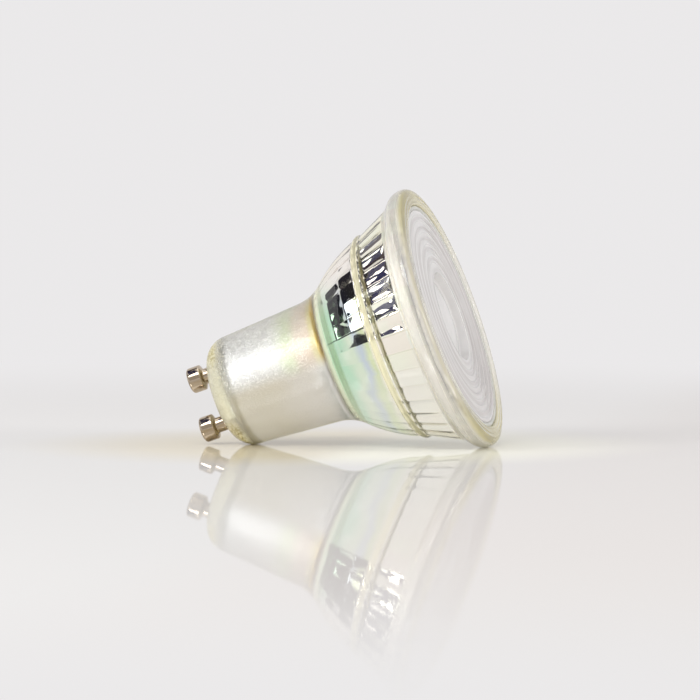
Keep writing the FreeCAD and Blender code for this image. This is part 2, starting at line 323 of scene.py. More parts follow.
# %% [markdown]
# Measures and patterns
#
# A finish asks where it is on the bulb: how high along the axis, how far out from it, how far
# above it. Steps and bells turn such a measure into a soft mask, and noise and cells give the
# grain. Generated coordinates would stretch with each piece's box, so Object coordinates are read.


# %% Finishes
class Finish(Nodes):
    """Nodes with the bulb's own measures, in millimetres, and the patterns made from them."""

    def place(self, name="Object"):
        return self.node("ShaderNodeTexCoord", output=name)

    def parts(self, vector):
        first = self.node("ShaderNodeSeparateXYZ", inputs={0: vector})
        return [first.beside(axis) for axis in "XYZ"]

    def distance_along(self, way):
        """Millimetres from the base centre along a unit vector: a dot product."""
        from_base = self.vector_maths("SUBTRACT", self.place(), base_centre.tolist())
        return self.vector_maths("DOT_PRODUCT", from_base, way.tolist(), "Value") / MM

    def height(self):
        return self.distance_along(along)

    def rise(self):
        return self.distance_along(upright)

    def radius(self):
        """Millimetres out from the axis: the length of the cross product with it."""
        from_base = self.vector_maths("SUBTRACT", self.place(), base_centre.tolist())
        across = self.vector_maths("CROSS_PRODUCT", from_base, along.tolist())
        return self.vector_maths("LENGTH", across, output="Value") / MM

    def step(self, value, low, high):
        """Nothing below low, one above high, smooth between. Low may be the larger one."""
        return self.node("ShaderNodeMapRange", {"interpolation_type": "SMOOTHSTEP"},
                         {0: value, 1: low, 2: high, 3: 0.0, 4: 1.0})

    def bell(self, value, middle, half, soft):
        """One at the middle, falling to nothing between half and half plus soft away from it."""
        return 1 - self.step(self.maths("ABSOLUTE", value - middle), half, half + soft)

    def ramp(self, value, stops):
        return self.node("ShaderNodeValToRGB", {"stops": stops}, {0: value})

    def noise(self, scale, detail=2.0, roughness=0.5):
        return self.node("ShaderNodeTexNoise", None,
                         {"Vector": self.place(), "Scale": scale, "Detail": detail,
                          "Roughness": roughness}, "Fac")

    def cells(self, scale, output="Distance"):
        return self.node("ShaderNodeTexVoronoi", None,
                         {"Vector": self.place(), "Scale": scale}, output)

    def cell_chance(self, scale):
        """One random number for each cell: the red of its colour."""
        return self.parts(self.cells(scale, "Color"))[0]

    def mix(self, share, first, second):
        """The first colour where the share is nothing, the second where it is one."""
        return self.node("ShaderNodeMix", {"data_type": "RGBA"}, {0: share, 6: first, 7: second}, 2)

    def bump(self, height, strength, distance):
        return self.node("ShaderNodeBump", None,
                         {"Strength": strength, "Distance": distance, "Height": height})

    def mix_shader(self, share, first, second):
        return self.node("ShaderNodeMixShader", None, {0: share, 1: first, 2: second})


print("finishes can:", [name for name in vars(Finish) if not name.startswith("_")])

# %% [markdown]
# The glass body
#
# Outside: a round base edge, a neck that flares smoothly into a bulged bowl, a ridge, a straight
# band and a thick lip. Inside: the seat for the lens, then rows of pressed facets, then the plain
# bore of the neck. Two skins with a gap could stand for glass and mirror, but one closed skin lets
# light enter the glass, meet the film on the far wall and come back out, which gives the real bulb
# its depth.

# %% Sizes of the glass
neck_radius, neck_end, flare_height = 10.45, 11.5, 19.6
base_round = 4.4
ledge_height = 24.5
bowl_root = (13.95, 25.2)
shoulder_height, shoulder_radius, shoulder_half, shoulder_rise = 34.6, 19.7, 0.6, 0.4
bowl_bulge = 0.5
rim_radius, glass_length = 25.0, 46.6
lip_length, lip_step, lip_run, lip_round = 4.4, 2.05, 2.8, 1.5
seat_radius, seat_height, mouth_radius, mouth_chamfer = 21.6, 44.6, 20.6, 0.35
floor_height, bore_radius = 3.4, 8.75

neck_slope = np.arctan2(neck_end - neck_radius, flare_height - base_round)
flare = np.array(bowl_root) - (neck_end, flare_height)
flare_sag = np.hypot(*flare) / 2 * np.tan((np.arctan2(*flare) - neck_slope) / 2)
bowl_end = (shoulder_radius - shoulder_rise, shoulder_height - shoulder_half)
band_start = (shoulder_radius - shoulder_rise / 3, shoulder_height + shoulder_half)
band_end = (rim_radius - lip_step, glass_length - lip_length)
lip_back_round = (lip_run ** 2 + lip_step ** 2) / (2 * lip_step)
lip_centre = (rim_radius - lip_back_round, band_end[1] + lip_run)
lip_start = np.degrees(np.arctan2(-lip_run, lip_back_round - lip_step))
print("sag of the flare:", round(flare_sag, 3), "mm")

# %% Outline of the glass
outside = np.concatenate([
    [(0.0, 0.0)],
    run((0, 0), (neck_radius - base_round, 0), 5),
    turn((neck_radius - base_round, base_round), base_round, -90, 0, 16),
    run((neck_radius, base_round), (neck_end, flare_height), 24),
    bow((neck_end, flare_height), bowl_root, -flare_sag, 14),
    bow(bowl_root, bowl_end, bowl_bulge, 24),
    bow(bowl_end, band_start, shoulder_rise * 0.8, 8),
    run(band_start, band_end, 12),
    turn(lip_centre, lip_back_round, lip_start, 0, 14),
    turn((rim_radius - lip_round, glass_length - lip_round), lip_round, 0, 90, 14),
    run((rim_radius - lip_round, glass_length), (seat_radius + mouth_chamfer, glass_length), 3),
    turn((seat_radius + mouth_chamfer, glass_length - mouth_chamfer), mouth_chamfer, 90, 180, 4),
    run((seat_radius, glass_length - mouth_chamfer), (seat_radius, seat_height), 4),
    run((seat_radius, seat_height), (mouth_radius, seat_height), 2),
])
print("outline points outside:", len(outside))

# %% [markdown]
# The facets
#
# Thirty-six columns of facets run down the bowl: one long flute in the straight band, three rows
# in the lower bowl, and a plain ring at the mouth. They could be cut with a boolean, panel by
# panel, but on a grid they are only a change of radius. The bowl facets are nearly flat. The
# flutes are pressed hollow, as seen from outside, so each gathers a wide strip of the room. A
# press never leaves them all alike, so each corner sits a few hundredths of a millimetre in or
# out, and every facet holds its own small picture of the room.

# %% Rows and columns of facets
facets, per_facet, bowl_rows = 36, 10, 3
facet_steps, flute_steps, ring_steps = 14, 28, 5
flute_top, ring_top = bowl_rows + 1, bowl_rows + 2
throat_radius, bowl_wall = 11.35, 2.0
waist_radius = shoulder_radius - shoulder_rise - bowl_wall
flute_end, flute_bow = 41.9, 0.12

columns = facets * per_facet
row_unit = np.concatenate([np.linspace(ring_top, flute_top, ring_steps + 1)[:-1],
                           np.linspace(flute_top, bowl_rows, flute_steps + 1)[:-1],
                           np.linspace(bowl_rows, 0, bowl_rows * facet_steps + 1)])
facet_height = np.interp(row_unit, [0, bowl_rows, flute_top, ring_top],
                         [ledge_height, shoulder_height, flute_end, seat_height])
print("rows inside:", len(row_unit), "columns:", columns)

# %% Corners of the facets
row_share = np.arange(bowl_rows + 1) / bowl_rows
bowl_corners = (throat_radius + (waist_radius - throat_radius) * row_share
                + 4 * bowl_bulge * row_share * (1 - row_share))
band_share = np.clip((facet_height - shoulder_height) / (seat_height - shoulder_height), 0, 1)
flute_share = np.clip(row_unit - bowl_rows, 0, 1)
corner_radius = (np.interp(row_unit, np.arange(bowl_rows + 1), bowl_corners)
                 + (mouth_radius - waist_radius) * band_share
                 + 4 * flute_bow * flute_share * (1 - flute_share))
print("corner radius:", round(corner_radius.min(), 2), "to", round(corner_radius.max(), 2), "mm")

# %% Pillows
bowl_pillow, band_pillow = 0.010, -0.10
ring_blend, flute_fall = 0.15, 8

down = (row_unit % 1) * 2 - 1
pillow = np.where(row_unit >= bowl_rows, band_pillow * (1 - np.maximum(down, 0) ** flute_fall),
                  bowl_pillow * (1 - down ** 2)) * (row_unit < flute_top)
fluted = np.where(row_unit > flute_top,
                  np.clip((flute_top + ring_blend - row_unit) / ring_blend, 0, 1), 1.0)
across = (np.arange(columns) % per_facet) / per_facet * 2 - 1
flat = np.cos(np.pi / facets) / np.cos(across * np.pi / facets)
print("deepest pillow:", round(pillow.min(), 3), "mm")

# %% Unevenness of the press
corner_jitter, flute_calm, flute_cuts = 0.018, 0.4, 6

corner_rows = np.concatenate([np.arange(bowl_rows),
                              np.linspace(bowl_rows, flute_top, flute_cuts + 1), [ring_top]])
jitter = np.random.default_rng(11).normal(0, corner_jitter, (len(corner_rows), facets + 1))
jitter[bowl_rows:] *= flute_calm
jitter[-2:] = 0
jitter[:, -1] = jitter[:, 0]
jitter = np.stack([np.interp(row_unit, corner_rows, column) for column in jitter.T], axis=1)
facet_step = np.arange(columns) // per_facet
share_on = (np.arange(columns) % per_facet) / per_facet
jitter = jitter[:, facet_step] * (1 - share_on) + jitter[:, facet_step + 1] * share_on
print("largest shift of a corner:", round(np.abs(jitter).max(), 3), "mm")

# %% Glass body
facet_radius = (corner_radius[:, None] * (1 + fluted[:, None] * (flat - 1))
                + pillow[:, None] * (1 - across ** 2) + jitter)
bore = np.concatenate([run((throat_radius, ledge_height), (bore_radius, ledge_height), 2),
                       run((bore_radius, ledge_height), (bore_radius, floor_height), 12),
                       run((bore_radius, floor_height), (0, floor_height), 4)])
glass_radius = np.concatenate([np.repeat(outside[:-1, :1], columns, 1), facet_radius,
                               np.repeat(bore[:, :1], columns, 1)])
glass_height = np.concatenate([outside[:-1, 1], facet_height, bore[:, 1]])
glass_rows = np.concatenate([np.zeros(len(outside) - 1), row_unit, np.zeros(len(bore))])
glass = turned_mesh("glass_body", glass_radius, glass_height, columns, facets, glass_rows)

# %% [markdown]
# Clear glass with a stippled neck
#
# Pressed glass is faintly olive where it is thick, so its tint comes from absorption in the
# volume, and more of it shows where the skin is seen edge-on. The mould left the neck stippled: a
# fine bump that fades out in the flare. The rest is polished, with a slow ripple. All of this is
# one material with soft masks along the axis, because separate materials would meet at hard lines.

# %% Zones of the glass
neck_fade, base_fade, lip_fade = (19.5, 23.5), (2.2, 5.0), (41.4, 43.0)
ridge_at, ledge_at = (shoulder_height + 0.1, 0.45, 0.4), (ledge_height + 0.1, 0.25, 0.7)
lip_root_at = (43.0, 0.7, 0.9)
lit_fade, off_axis_fade = (-2.5, 1.0), (4.0, 9.0)

clear = Finish("clear_glass", IOR=1.5, Transmission_Weight=1.0)
clear_height, clear_rise, clear_radius = clear.height(), clear.rise(), clear.radius()
neck_zone = 1 - clear.step(clear_height, *neck_fade)
base_zone = 1 - clear.step(clear_height, *base_fade)
ridge_zone = clear.bell(clear_height, *ridge_at)
ledge_zone = clear.bell(clear_height, *ledge_at)
lip_root = clear.bell(clear_height, *lip_root_at)
lip_zone = clear.step(clear_height, *lip_fade)
lit_side = clear.step(clear_rise, *lit_fade)
away_from_axis = clear.maths("ABSOLUTE", clear_rise)
off_axis = clear.step(away_from_axis, *off_axis_fade)
print("nodes of the zones:", len(clear.tree.nodes))

# %% Skin of the glass
stipple_grain, pit_grain, ripple_grain, lip_waves = 3600, 2600, 140, 7.0
shade_relief, lit_relief, ripple_relief, lip_relief = 0.08, 0.44, 0.03, 0.08
stipple_depth = 0.0003

stipple = clear.noise(stipple_grain, 2.0, 0.65) + clear.cells(pit_grain) * 0.5
ripple = clear.noise(ripple_grain, 1.0) * ripple_relief * (1 - lip_zone)
lip_line = clear.maths("SINE", clear_radius * lip_waves) * lip_zone * lip_relief
relief = stipple * neck_zone * (shade_relief + lit_side * lit_relief) + ripple + lip_line
skin = clear.bump(relief, 1.0, stipple_depth)
print("stipple depth:", stipple_depth / MM, "mm")

# %% Tint of the glass
olive_glass, edge_fade, polish = (0.88, 0.83, 0.46), (0.62, 0.98), 0.015
edge_on = clear.node("ShaderNodeLayerWeight", None, {"Blend": 0.5}, "Facing")
olive = ridge_zone * 0.6 + ledge_zone * 0.6 + base_zone * 0.5 + lip_zone * 0.10
olive = olive + clear.step(edge_on, *edge_fade) * 0.8
clear.feed(Base_Color=clear.mix(olive, (1, 1, 1), olive_glass), Normal=skin,
           Roughness=polish + ridge_zone * 0.16 + ledge_zone * 0.08 + neck_zone * 0.05)
print("nodes with skin and tint:", len(clear.tree.nodes))

# %% [markdown]
# Milky edges
#
# Where the press left fine scratches and seams (the base edge, the rings, the lip) the glass
# scatters light and looks milky. More bounces inside the glass could give that, at the price of a
# slow and noisy render. A second, plain shader mixed in by the same masks looks the same. Its
# colour runs from cream to olive, deepest on the front of the lip at its top and bottom.

# %% Colour of the milky edges
cream_milk, base_milk, base_side_milk = (0.97, 0.95, 0.88), (0.97, 0.94, 0.76), (0.88, 0.80, 0.44)
speck_milk, ridge_milk = (0.40, 0.32, 0.10), (0.82, 0.76, 0.50)
lip_milk, lip_edge_milk = (0.98, 0.945, 0.95), (0.54, 0.47, 0.18)
speck_grain, speck_fade, speck_start = 3500, (0.48, 0.72), (7.2, 8.8)

speck = clear.step(clear.cell_chance(speck_grain), *speck_fade) * (0.15 + off_axis * 0.85)
speck = speck * clear.step(clear_radius, *speck_start)
edge_colour = clear.mix(base_zone * off_axis, base_milk, base_side_milk)
edge_colour = clear.mix(speck * base_zone, edge_colour, speck_milk)
milk_colour = clear.mix(ridge_zone + base_zone + ledge_zone, cream_milk, edge_colour)
milk_colour = clear.mix(ridge_zone, milk_colour, ridge_milk)
milk_colour = clear.mix(lip_zone, milk_colour, lip_milk)
print("nodes with the milky colours:", len(clear.tree.nodes))

# %% Olive on the front of the lip
lip_front_fade, lip_end_fade, lip_bend_at = (45.0, 46.2), (7.0, 23.0), (24.4, 0.2, 0.4)
lip_front = clear.step(clear_height, *lip_front_fade)
lip_ends = 0.25 + clear.step(away_from_axis, *lip_end_fade) * 0.75
lip_bend = clear.bell(clear_radius, *lip_bend_at) * 0.6
lip_edge = lip_front * clear.maths("MAXIMUM", lip_ends, lip_bend)
milk_colour = clear.mix(lip_edge * 0.9, milk_colour, lip_edge_milk)
print("nodes with the lip:", len(clear.tree.nodes))

# %% Clear glass
deep_glass, glass_density = (0.87, 0.83, 0.40), 27.0
sparkle_grain, sparkle_fade = 2900, (0.5, 0.9)

milk = clear.node("ShaderNodeBsdfPrincipled", None,
                  {"Base Color": milk_colour, "Roughness": 0.12, "Normal": skin})
sparkle = clear.step(clear.cell_chance(sparkle_grain), *sparkle_fade)
sparkle = neck_zone * (1 - base_zone) * lit_side * sparkle
milky = (ridge_zone * 0.52 + ledge_zone * 0.35 + base_zone * (0.5 + off_axis * 0.25)
         + lip_zone * 0.26 + lip_edge * 0.34 + lip_root * 0.06 + sparkle * 0.25)
depth = clear.node("ShaderNodeVolumeAbsorption", None,
                   {"Color": deep_glass, "Density": glass_density})
clear.close(Surface=clear.mix_shader(milky, clear.own, milk), Volume=depth)
print("nodes of the clear glass:", len(clear.tree.nodes))

# %% [markdown]
# The mirror film
#
# The film is a stack of thin layers. It is nearly white, with mint, peach, lilac and yellow-green
# tints that drift over the bowl and differ from facet to facet. A thin-film shader would take the
# tint from the angle of view, which the exported model loses, so the tints are ramps along the
# axis, pushed to and fro by noise. In the neck the film lies on stippled glass, so there it is
# satin and browner towards the throat. Its colour also carries painted light and shade: the neck
# is painted lighter on its upper side and darker below, the top of the bowl is painted paler as a
# painted reflection of the light above, and the low side of the bowl and band is painted paler.

# %% Film of the bowl
bowl_bands = [(0.0, (0.60, 0.86, 0.68)), (0.28, (0.55, 0.82, 0.63)), (0.48, (0.76, 0.87, 0.73)),
              (0.66, (0.63, 0.71, 0.80)), (0.84, (0.76, 0.84, 0.56)), (1.0, (0.96, 0.93, 0.82))]
painted_lit_bowl_top, painted_lit_top_fade = (0.97, 0.93, 0.93), (6.0, 14.0)
drift_grain, drift_share, facet_share = 110, 0.5, 0.10

film = Finish("mirror_film")
film_round, film_row, _ = film.parts(film.place("UV"))
film_height, film_rise = film.height(), film.rise()
drift = film.noise(drift_grain, 2.0)
facet_place = film.node("ShaderNodeCombineXYZ", None,
                        {0: film.maths("FLOOR", film_round), 1: film.maths("FLOOR", film_row)})
chance = film.node("ShaderNodeTexWhiteNoise", {"noise_dimensions": "3D"},
                   {"Vector": facet_place}, "Value")
up_bowl = (film_height - ledge_height) / (shoulder_height - ledge_height)
up_bowl = up_bowl + (drift - 0.5) * drift_share + (chance - 0.5) * facet_share
bowl_colour = film.ramp(up_bowl, bowl_bands)
# Painted reflection: the top of the bowl is painted paler, as if it mirrored the light above.
bowl_colour = film.mix(film.step(film_rise, *painted_lit_top_fade), bowl_colour, painted_lit_bowl_top)
print("tints in the bowl:", len(bowl_bands))

# %% Film of the flutes
flute_tints = [(0.0, (0.90, 0.97, 0.92)), (0.3, (0.98, 0.96, 0.90)), (0.6, (0.98, 0.93, 0.87)),
               (0.8, (0.96, 0.97, 0.86)), (1.0, (0.94, 0.93, 0.97))]
flute_line, line_at = (0.80, 0.76, 0.62), (0.0, 0.04, 0.06)
band_colour = film.ramp(chance * 0.7 + drift * 0.5 - 0.1, flute_tints)
on_flute = film.maths("FRACT", film_round)
band_colour = film.mix(film.bell(on_flute, *line_at) * 0.45, band_colour, flute_line)
print("tints of the flutes:", len(flute_tints))

# %% Film of the neck
silver = (0.96, 0.965, 0.985)
# Tints of the neck's upper side, painted lighter as if lit; the tints below are painted darker as
# shade.
painted_lit_tints = [(0.0, silver), (0.55, silver), (0.70, (0.86, 0.94, 0.72)),
              (0.79, (0.96, 0.84, 0.76)), (0.87, (0.96, 0.82, 0.72)), (0.92, (0.95, 0.86, 0.56)),
              (0.96, (0.82, 0.62, 0.22)), (1.0, (0.55, 0.32, 0.06))]
painted_dark_tints = [(0.0, (0.80, 0.75, 0.61)), (0.4, (0.79, 0.735, 0.615)),
               (0.75, (0.86, 0.815, 0.77)), (1.0, (0.88, 0.87, 0.91))]
neck_drift, shade_drift, painted_lit_fade = 0.10, 0.3, (-1.5, 1.5)
grain_colour, neck_grain, grain_fade = (0.70, 0.66, 0.55), 2300, (0.50, 0.66)

up_neck = film_height / ledge_height
# Painted light and shade: the lit tints on the upper side, the darker shade tints below.
painted_lit_neck = film.ramp(up_neck + (drift - 0.5) * neck_drift, painted_lit_tints)
painted_dark_neck = film.ramp(up_neck + (drift - 0.5) * shade_drift, painted_dark_tints)
neck_grain_and_painted_shade = film.mix(film.step(film_rise, *painted_lit_fade), painted_dark_neck, painted_lit_neck)
grain = film.noise(neck_grain, 3.0, 0.7)
neck_grain_and_painted_shade = film.mix(film.step(grain, *grain_fade) * 0.12, neck_grain_and_painted_shade, grain_colour)
print("tints in the neck:", len(painted_lit_tints) + len(painted_dark_tints))

# %% Mirror film
painted_light_film, grain_depth = (0.98, 0.98, 0.95), 0.00012
film_seam, ring_fade, low_fade = 0.2, (41.6, 42.4), (-11.0, -1.5)

in_bowl = film.step(film_height, ledge_height - film_seam, ledge_height + film_seam)
in_band = film.step(film_height, shoulder_height - film_seam, shoulder_height + film_seam)
mouth_ring = film.step(film_height, *ring_fade)
low_side = 1 - film.step(film_rise, *low_fade)
film_colour = film.mix(in_band, film.mix(in_bowl, neck_grain_and_painted_shade, bowl_colour), band_colour)
# Painted light: the low side of the bowl and band is painted paler, lifting the shade it takes from
# the table.
film_colour = film.mix(low_side * in_bowl * 0.4, film_colour, painted_light_film)
film.feed(Base_Color=film_colour, Metallic=in_bowl * (0.45 - low_side * 0.20) + 0.55,
          Roughness=0.17 - in_bowl * 0.14 + mouth_ring * 0.4,
          Normal=film.bump(grain * (1 - in_bowl), 0.6, grain_depth))
print("nodes of the film:", len(film.tree.nodes))

# %% [markdown]
# Which faces are film
#
# The rows of the mesh run from the base up the outside and back down the inside, so every face
# whose first corner comes after the last row of the outside carries the film.

# %% Glass and film on the body
for finish in (clear, film):
    glass.data.materials.append(finish.owner)
face_count = len(glass.data.polygons)
first_loop = np.empty(face_count, np.int32)
glass.data.polygons.foreach_get("loop_start", first_loop)
loop_point = np.empty(len(glass.data.loops), np.int32)
glass.data.loops.foreach_get("vertex_index", loop_point)
film_start = 1 + (len(outside) - 2) * columns
is_film = loop_point[first_loop] >= film_start
glass.data.polygons.foreach_set("material_index", is_film.astype(np.int32))
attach(glass, "root")
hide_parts("glass_reflector")
print("faces with film:", int(is_film.sum()), "of", face_count)

# %% [markdown]
# The pins
#
# Two turned pins with mushroom heads, plated with polished nickel, twist into the lamp holder. A
# cylinder with a Bevel modifier comes close, but an outline of runs and rounds gives the head its
# own edges, and an edge with no radius never catches a highlight.

# %% Outline of a pin
pin_reach, head_radius, head_length, head_edge, shank_radius = 5.0, 2.4, 2.9, 0.5, 1.45
back_edge, fillet, tail_gap = head_edge * 0.6, 0.25, 0.1
head_top = -pin_reach + head_length
tail = floor_height - tail_gap
pin_outline = np.concatenate([
    [(0.0, -pin_reach)],
    run((0, -pin_reach), (head_radius - head_edge, -pin_reach), 3),
    turn((head_radius - head_edge, -pin_reach + head_edge), head_edge, -90, 0, 8),
    run((head_radius, -pin_reach + head_edge), (head_radius, head_top - head_edge), 3),
    turn((head_radius - back_edge, head_top - head_edge), back_edge, 0, 60, 5),
    run((head_radius - head_edge * 0.3, head_top - head_edge * 0.48),
        (shank_radius + fillet, head_top), 3),
    turn((shank_radius + fillet, head_top + fillet), fillet, 270, 180, 4),
    run((shank_radius, head_top + fillet), (shank_radius, tail), 5),
    run((shank_radius, tail), (0, tail), 2),
])
print("outline points of a pin:", len(pin_outline))

# %% Contact pins
pin_offset, pin_columns = 5.0, 96
pin_roll = np.radians(-20.0)
nickel = Finish("pin_nickel", Metallic=1.0)
scuff = nickel.noise(2200, 3.0, 0.6)
nickel.feed(Base_Color=nickel.mix(scuff, (0.58, 0.49, 0.38), (0.49, 0.41, 0.31)),
            Roughness=0.05 + scuff * 0.08)
for name, side in (("contact_pin_upper", 1), ("contact_pin_lower", -1)):
    shift = around_axis(side * pin_offset, 0.0, pin_roll) - base_centre
    pin = turned_mesh(name.replace("contact_", "nickel_"), pin_outline[:, 0], pin_outline[:, 1],
                      pin_columns, shift=shift)
    pin.data.materials.append(nickel.owner)
    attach(pin, "root")
    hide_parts(name)

# %% [markdown]
# The front lens
#
# A moulded lens closes the mouth and gathers the light. Its face has fine saw-toothed rings round
# a sunk eye with a domed floor, and its back narrows to a foot over the light source. A bump could
# draw the rings, but real ones catch the light along their edges, so they are in the outline.

# %% Face of the lens
lens_front, lens_radius = 46.2, 20.7
eye_radius, eye_depth, eye_draft, eye_dome = 8.5, 1.7, 0.5, 1.2
grooves, groove_depth, groove_margin = 9, 0.22, 0.9
groove_steps, groove_slope, eye_steps = 8, 0.85, 12

groove_start = eye_radius + groove_margin
groove_end = lens_radius - groove_margin
groove_share = np.linspace(0, 1, grooves * groove_steps + 1)[1:]
saw = (groove_share * grooves) % 1
saw_depth = groove_depth * np.minimum(saw / groove_slope, (1 - saw) / (1 - groove_slope))
groove_points = np.stack([groove_start + (groove_end - groove_start) * groove_share,
                          lens_front - saw_depth], axis=1)
eye_share = np.linspace(0, 1, eye_steps + 1)
eye_points = np.stack([(eye_radius - eye_draft) * eye_share,
                       lens_front - eye_depth + eye_dome * (1 - eye_share ** 2)], axis=1)
print("rings:", grooves, "from", groove_start, "to", groove_end, "mm")

# %% Lens
foot_radius, foot_bore, foot_height = 5.9, 4.8, 26.85
pocket_top, pocket_dome, pocket_bow = 31.3, 1.2, 0.12
flange_inside, back_bow = 18.6, -1.0
eye_edge, rim_edge, clearance, lens_columns = 0.1, 0.2, 0.03, 180
under_flange = seat_height + clearance

lens_outline = np.concatenate([
    eye_points,
    run((eye_radius - eye_draft, lens_front - eye_depth), (eye_radius, lens_front - eye_edge), 4),
    turn((eye_radius + eye_edge, lens_front - eye_edge), eye_edge, 180, 90, 2),
    run((eye_radius + eye_edge, lens_front), (groove_start, lens_front), 2),
    groove_points,
    run((groove_end, lens_front), (lens_radius - rim_edge, lens_front), 2),
    turn((lens_radius - rim_edge, lens_front - rim_edge), rim_edge, 90, 0, 3),
    run((lens_radius, lens_front - rim_edge), (lens_radius, under_flange), 2),
    run((lens_radius, under_flange), (flange_inside, under_flange), 2),
    bow((flange_inside, under_flange), (foot_radius, foot_height), back_bow, 16),
    run((foot_radius, foot_height), (foot_bore, foot_height), 2),
    run((foot_bore, foot_height), (foot_bore - eye_draft, pocket_top), 6),
    bow((foot_bore - eye_draft, pocket_top), (0, pocket_top - pocket_dome), pocket_bow, 8),
])[::-1]
lens = turned_mesh("moulded_lens", lens_outline[:, 0], lens_outline[:, 1], lens_columns)

# %% [markdown]
# Lens plastic
#
# The plastic is clear with a slightly frosted face, so the bowl shows through greyed. Broad wavy
# grey rings are painted images of the facets that a real lens smears into bands. Ray tracing them
# through two rough faces would need far more samples. The face is also painted darker on the low
# and the far side, as painted shade, since these face the table and not the lights.

# %% Lens finish
lens_pale, lens_painted_grey = (1.0, 0.985, 0.975), (0.76, 0.72, 0.71)
ring_waves, ring_wobble, ring_start = 3.1, 3.0, (7.6, 8.8)
low_part_fade, low_part_start = (-16.0, 4.0), (8.0, 11.0)
far_part_fade, far_part_start = (7.5, 9.0), (8.8, 10.0)

acrylic = Finish("lens_acrylic", IOR=1.49, Transmission_Weight=0.35)
lens_out = acrylic.radius()
haze = acrylic.noise(500, 2.0)
ring_place = lens_out + acrylic.noise(42, 2.0) * ring_wobble
rings = acrylic.maths("SINE", ring_place * ring_waves) * 0.5 + 0.5
# Painted images of the facets as wavy rings, with the haze of the frosted face.
painted_rings_and_haze = (rings ** 2.5 * 0.95 + haze * 0.25) * acrylic.step(lens_out, *ring_start)
# Painted shade on the low side and the far side of the lens.
painted_shade_low = 1 - acrylic.step(acrylic.rise(), *low_part_fade)
painted_shade_low = painted_shade_low * acrylic.step(lens_out, *low_part_start)
painted_shade_far = acrylic.step(acrylic.parts(acrylic.place())[1] / MM, *far_part_fade)
painted_shade_far = painted_shade_far * acrylic.step(lens_out, *far_part_start)
painted_shade_images_and_haze = painted_rings_and_haze * 0.8 + painted_shade_low * 0.45 + painted_shade_far * 0.18
acrylic.feed(Base_Color=acrylic.mix(painted_shade_images_and_haze, lens_pale, lens_painted_grey), Roughness=0.06 + haze * 0.10)
lens.data.materials.append(acrylic.owner)
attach(lens, "root")
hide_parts("front_lens")
print("nodes of the lens:", len(acrylic.tree.nodes))

# %% [markdown]
# The seal
#
# A bead of clear-set sealant fills the joint between the lens and the glass. A torus would leave
# the joint half empty, so the bead has straight sides and only its top is round.

# %% Seal bead
bead_inside, bead_outside = lens_radius + clearance, seat_radius - clearance
bead_top, bead_bow = lens_front - rim_edge, -0.3
seal_outline = np.concatenate([
    [(bead_inside, under_flange)],
    run((bead_inside, under_flange), (bead_inside, bead_top), 3),
    bow((bead_inside, bead_top), (bead_outside, bead_top), bead_bow, 10),
    run((bead_outside, bead_top), (bead_outside, under_flange), 3),
    run((bead_outside, under_flange), (bead_inside, under_flange), 2),
])[::-1]
seal = turned_mesh("seal_bead", seal_outline[:, 0], seal_outline[:, 1], lens_columns)
silicone = Finish("seal_silicone", IOR=1.41, Transmission_Weight=0.35)
cloud = silicone.noise(900, 3.0)
silicone.feed(Base_Color=silicone.mix(cloud, (0.90, 0.90, 0.86), (0.80, 0.80, 0.74)),
              Roughness=0.30 + cloud * 0.2)
seal.data.materials.append(silicone.owner)
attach(seal, "root")
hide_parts("lens_seal")

# %% [markdown]
# What is inside
#
# The driver and the light source hardly show, so they keep their packed solids. Each gets a finish
# with the grain of its own stuff: moulded cases, enamelled boards, tinned wire. They differ only
# in numbers, so a table and a loop do for all. A row gives two colours, how metallic the stuff
# is, and its roughness.

# %% Finishes of the parts inside
tinned_wire = ((0.74, 0.73, 0.70), (0.62, 0.61, 0.58), 1.0, 0.30)
black_case = ((0.04, 0.04, 0.04), (0.07, 0.07, 0.07), 0.0, 0.50)
inner_finishes = {
    "pin_washers": ((0.62, 0.62, 0.62), (0.50, 0.50, 0.51), 1.0, 0.30),
    "heat_spreader": ((0.80, 0.80, 0.81), (0.70, 0.70, 0.72), 1.0, 0.38),
    "led_board": ((0.92, 0.92, 0.90), (0.86, 0.86, 0.84), 0.0, 0.35),
    "led_packages": ((0.95, 0.78, 0.25), (0.90, 0.70, 0.18), 0.0, 0.30),
    "driver_board": ((0.08, 0.30, 0.14), (0.05, 0.22, 0.10), 0.0, 0.35),
    "smoothing_capacitor": ((0.05, 0.05, 0.08), (0.08, 0.08, 0.11), 0.0, 0.30),
    "inductor": ((0.15, 0.14, 0.14), (0.45, 0.22, 0.10), 0.0, 0.50),
    "fuse_resistor": ((0.40, 0.52, 0.58), (0.34, 0.45, 0.50), 0.0, 0.40),
    "film_capacitor": ((0.75, 0.52, 0.10), (0.66, 0.44, 0.08), 0.0, 0.30),
    "driver_chip": black_case,
    "bridge_rectifier": black_case,
    "chip_resistors": ((0.06, 0.06, 0.06), (0.10, 0.10, 0.10), 0.0, 0.40),
    "lead_wire_upper": tinned_wire,
    "lead_wire_lower": tinned_wire,
    "led_wire_upper": ((0.65, 0.08, 0.07), (0.56, 0.06, 0.05), 0.0, 0.40),
    "led_wire_lower": ((0.05, 0.05, 0.06), (0.09, 0.09, 0.10), 0.0, 0.40),
}
for node_name, (colour, mottling, metal, rough) in inner_finishes.items():
    finish = Finish(node_name + "_finish", Metallic=metal)
    mottle = finish.noise(1500, 3.0, 0.6)
    finish.feed(Base_Color=finish.mix(mottle, colour, mottling), Roughness=rough + mottle * 0.15)
    node = frame["nodes"][node_name]
    node.data.materials.clear()
    node.data.materials.append(finish.owner)
print("inner parts finished:", len(inner_finishes))

